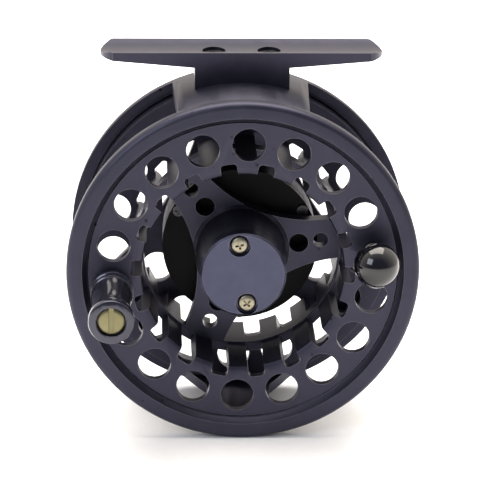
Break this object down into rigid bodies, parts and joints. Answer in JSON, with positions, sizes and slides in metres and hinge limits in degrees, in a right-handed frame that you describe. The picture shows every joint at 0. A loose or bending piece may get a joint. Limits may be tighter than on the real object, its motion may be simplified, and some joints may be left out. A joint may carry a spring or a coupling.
{
  "type": "fly reel",
  "caption": "Single-action fly fishing reel with a ported large-arbor spool, winding knob, counterweight, disc drag with rear knob and a T-shaped reel foot.",
  "frame": {"origin": "middle of the reel foot's seat, on the line between the foot's two top edges", "axes": "+Z out of the foot towards the rod, +X along the foot (and the rod), +Y along the spindle from the handle side to the drag knob"},
  "size_m": [0.084, 0.0686, 0.0907],
  "materials": {
    "gunmetal_cast": "satin dark blue-grey gunmetal finish on die-cast aluminium",
    "gunmetal_turned": "satin gunmetal anodising on turned aluminium",
    "gloss_gunmetal": "glossy dark gunmetal",
    "gloss_black": "polished black",
    "nickel_screw": "nickel plated, slightly yellow",
    "stainless": "turned stainless steel",
    "black_steel": "blackened steel",
    "bronze": "oiled sintered bronze",
    "black_anodised": "black anodised aluminium",
    "cork": "cork composite",
    "seal_rubber": "nitrile rubber",
    "brass": "turned brass",
    "spring_steel": "spring steel",
    "nylon": "glass-filled nylon"
  },
  "bodies": {
    "frame": {"frame": "gunmetal_cast", "reel_foot": "gunmetal_turned", "foot_screws": "black_steel", "spindle": "stainless", "spindle_nut": "stainless", "drag_cover": "black_anodised", "cover_screws": "black_steel", "drag_seal": "seal_rubber", "knob_screw": "black_steel", "detent_spring": "spring_steel", "click_spring": "spring_steel"},
    "spool": {"spool": "gunmetal_cast", "hub_cap": "gunmetal_turned", "cap_screws": "nickel_screw", "spool_clip": "spring_steel", "spool_bushing": "bronze", "clutch_shell": "stainless", "clutch_rollers": "stainless", "clutch_cage": "nylon", "handle_post": "stainless", "handle_washer": "stainless", "handle_screw": "nickel_screw", "counterweight": "gloss_black", "counterweight_screw": "nickel_screw"},
    "handle": {"handle_knob": "gloss_gunmetal"},
    "rotor": {"drag_rotor": "stainless", "rotor_bushings": "bronze", "friction_disc_front": "cork", "friction_disc_rear": "cork"},
    "pressure": {"pressure_plate": "stainless", "pressure_pins": "stainless"},
    "thrust_nut": {"thrust_nut": "brass", "drag_spring": "spring_steel"},
    "drag_knob": {"drag_knob": "gunmetal_turned", "knob_insert": "brass"},
    "click_plunger": {"click_plunger": "stainless"},
    "detent_ball": {"detent_ball": "stainless"}
  },
  "joints": [
    {"name": "spool_turn", "type": "hinge", "parent": "frame", "child": "spool", "pos_m": [0, -0.02765, -0.04875], "axis": [0, 1, 0], "continuous": true},
    {"name": "handle_turn", "type": "hinge", "parent": "spool", "child": "handle", "pos_m": [-0.03106, -0.02765, -0.05312], "axis": [0, 1, 0], "continuous": true},
    {"name": "rotor_turn", "type": "hinge", "parent": "frame", "child": "rotor", "pos_m": [0, 0.00135, -0.04875], "axis": [0, 1, 0], "continuous": true},
    {"name": "drag_knob_turn", "type": "hinge", "parent": "frame", "child": "drag_knob", "pos_m": [0, 0.01235, -0.04875], "axis": [0, 1, 0], "range_deg": [0, 300]},
    {"name": "thrust_nut_slide", "type": "slide", "parent": "frame", "child": "thrust_nut", "axis": [0, -1, 0], "range_m": [0, 0.000612], "deforming": ["drag_spring"]},
    {"name": "pressure_slide", "type": "slide", "parent": "frame", "child": "pressure", "axis": [0, -1, 0], "range_m": [0, 0.000102]},
    {"name": "click_plunger_slide", "type": "slide", "parent": "frame", "child": "click_plunger", "axis": [0, -1, 0], "range_m": [0, 0.00035], "stiffness_N_per_m": 400},
    {"name": "detent_ball_slide", "type": "slide", "parent": "frame", "child": "detent_ball", "axis": [0, 1, 0], "range_m": [0, 0.00035], "stiffness_N_per_m": 400}
  ],
  "couplings": [
    {"joint": "thrust_nut_slide", "follows": "drag_knob_turn", "m_per_rad": 0.00011459},
    {"joint": "pressure_slide", "follows": "drag_knob_turn", "m_per_rad": 0.000019099}
  ]
}
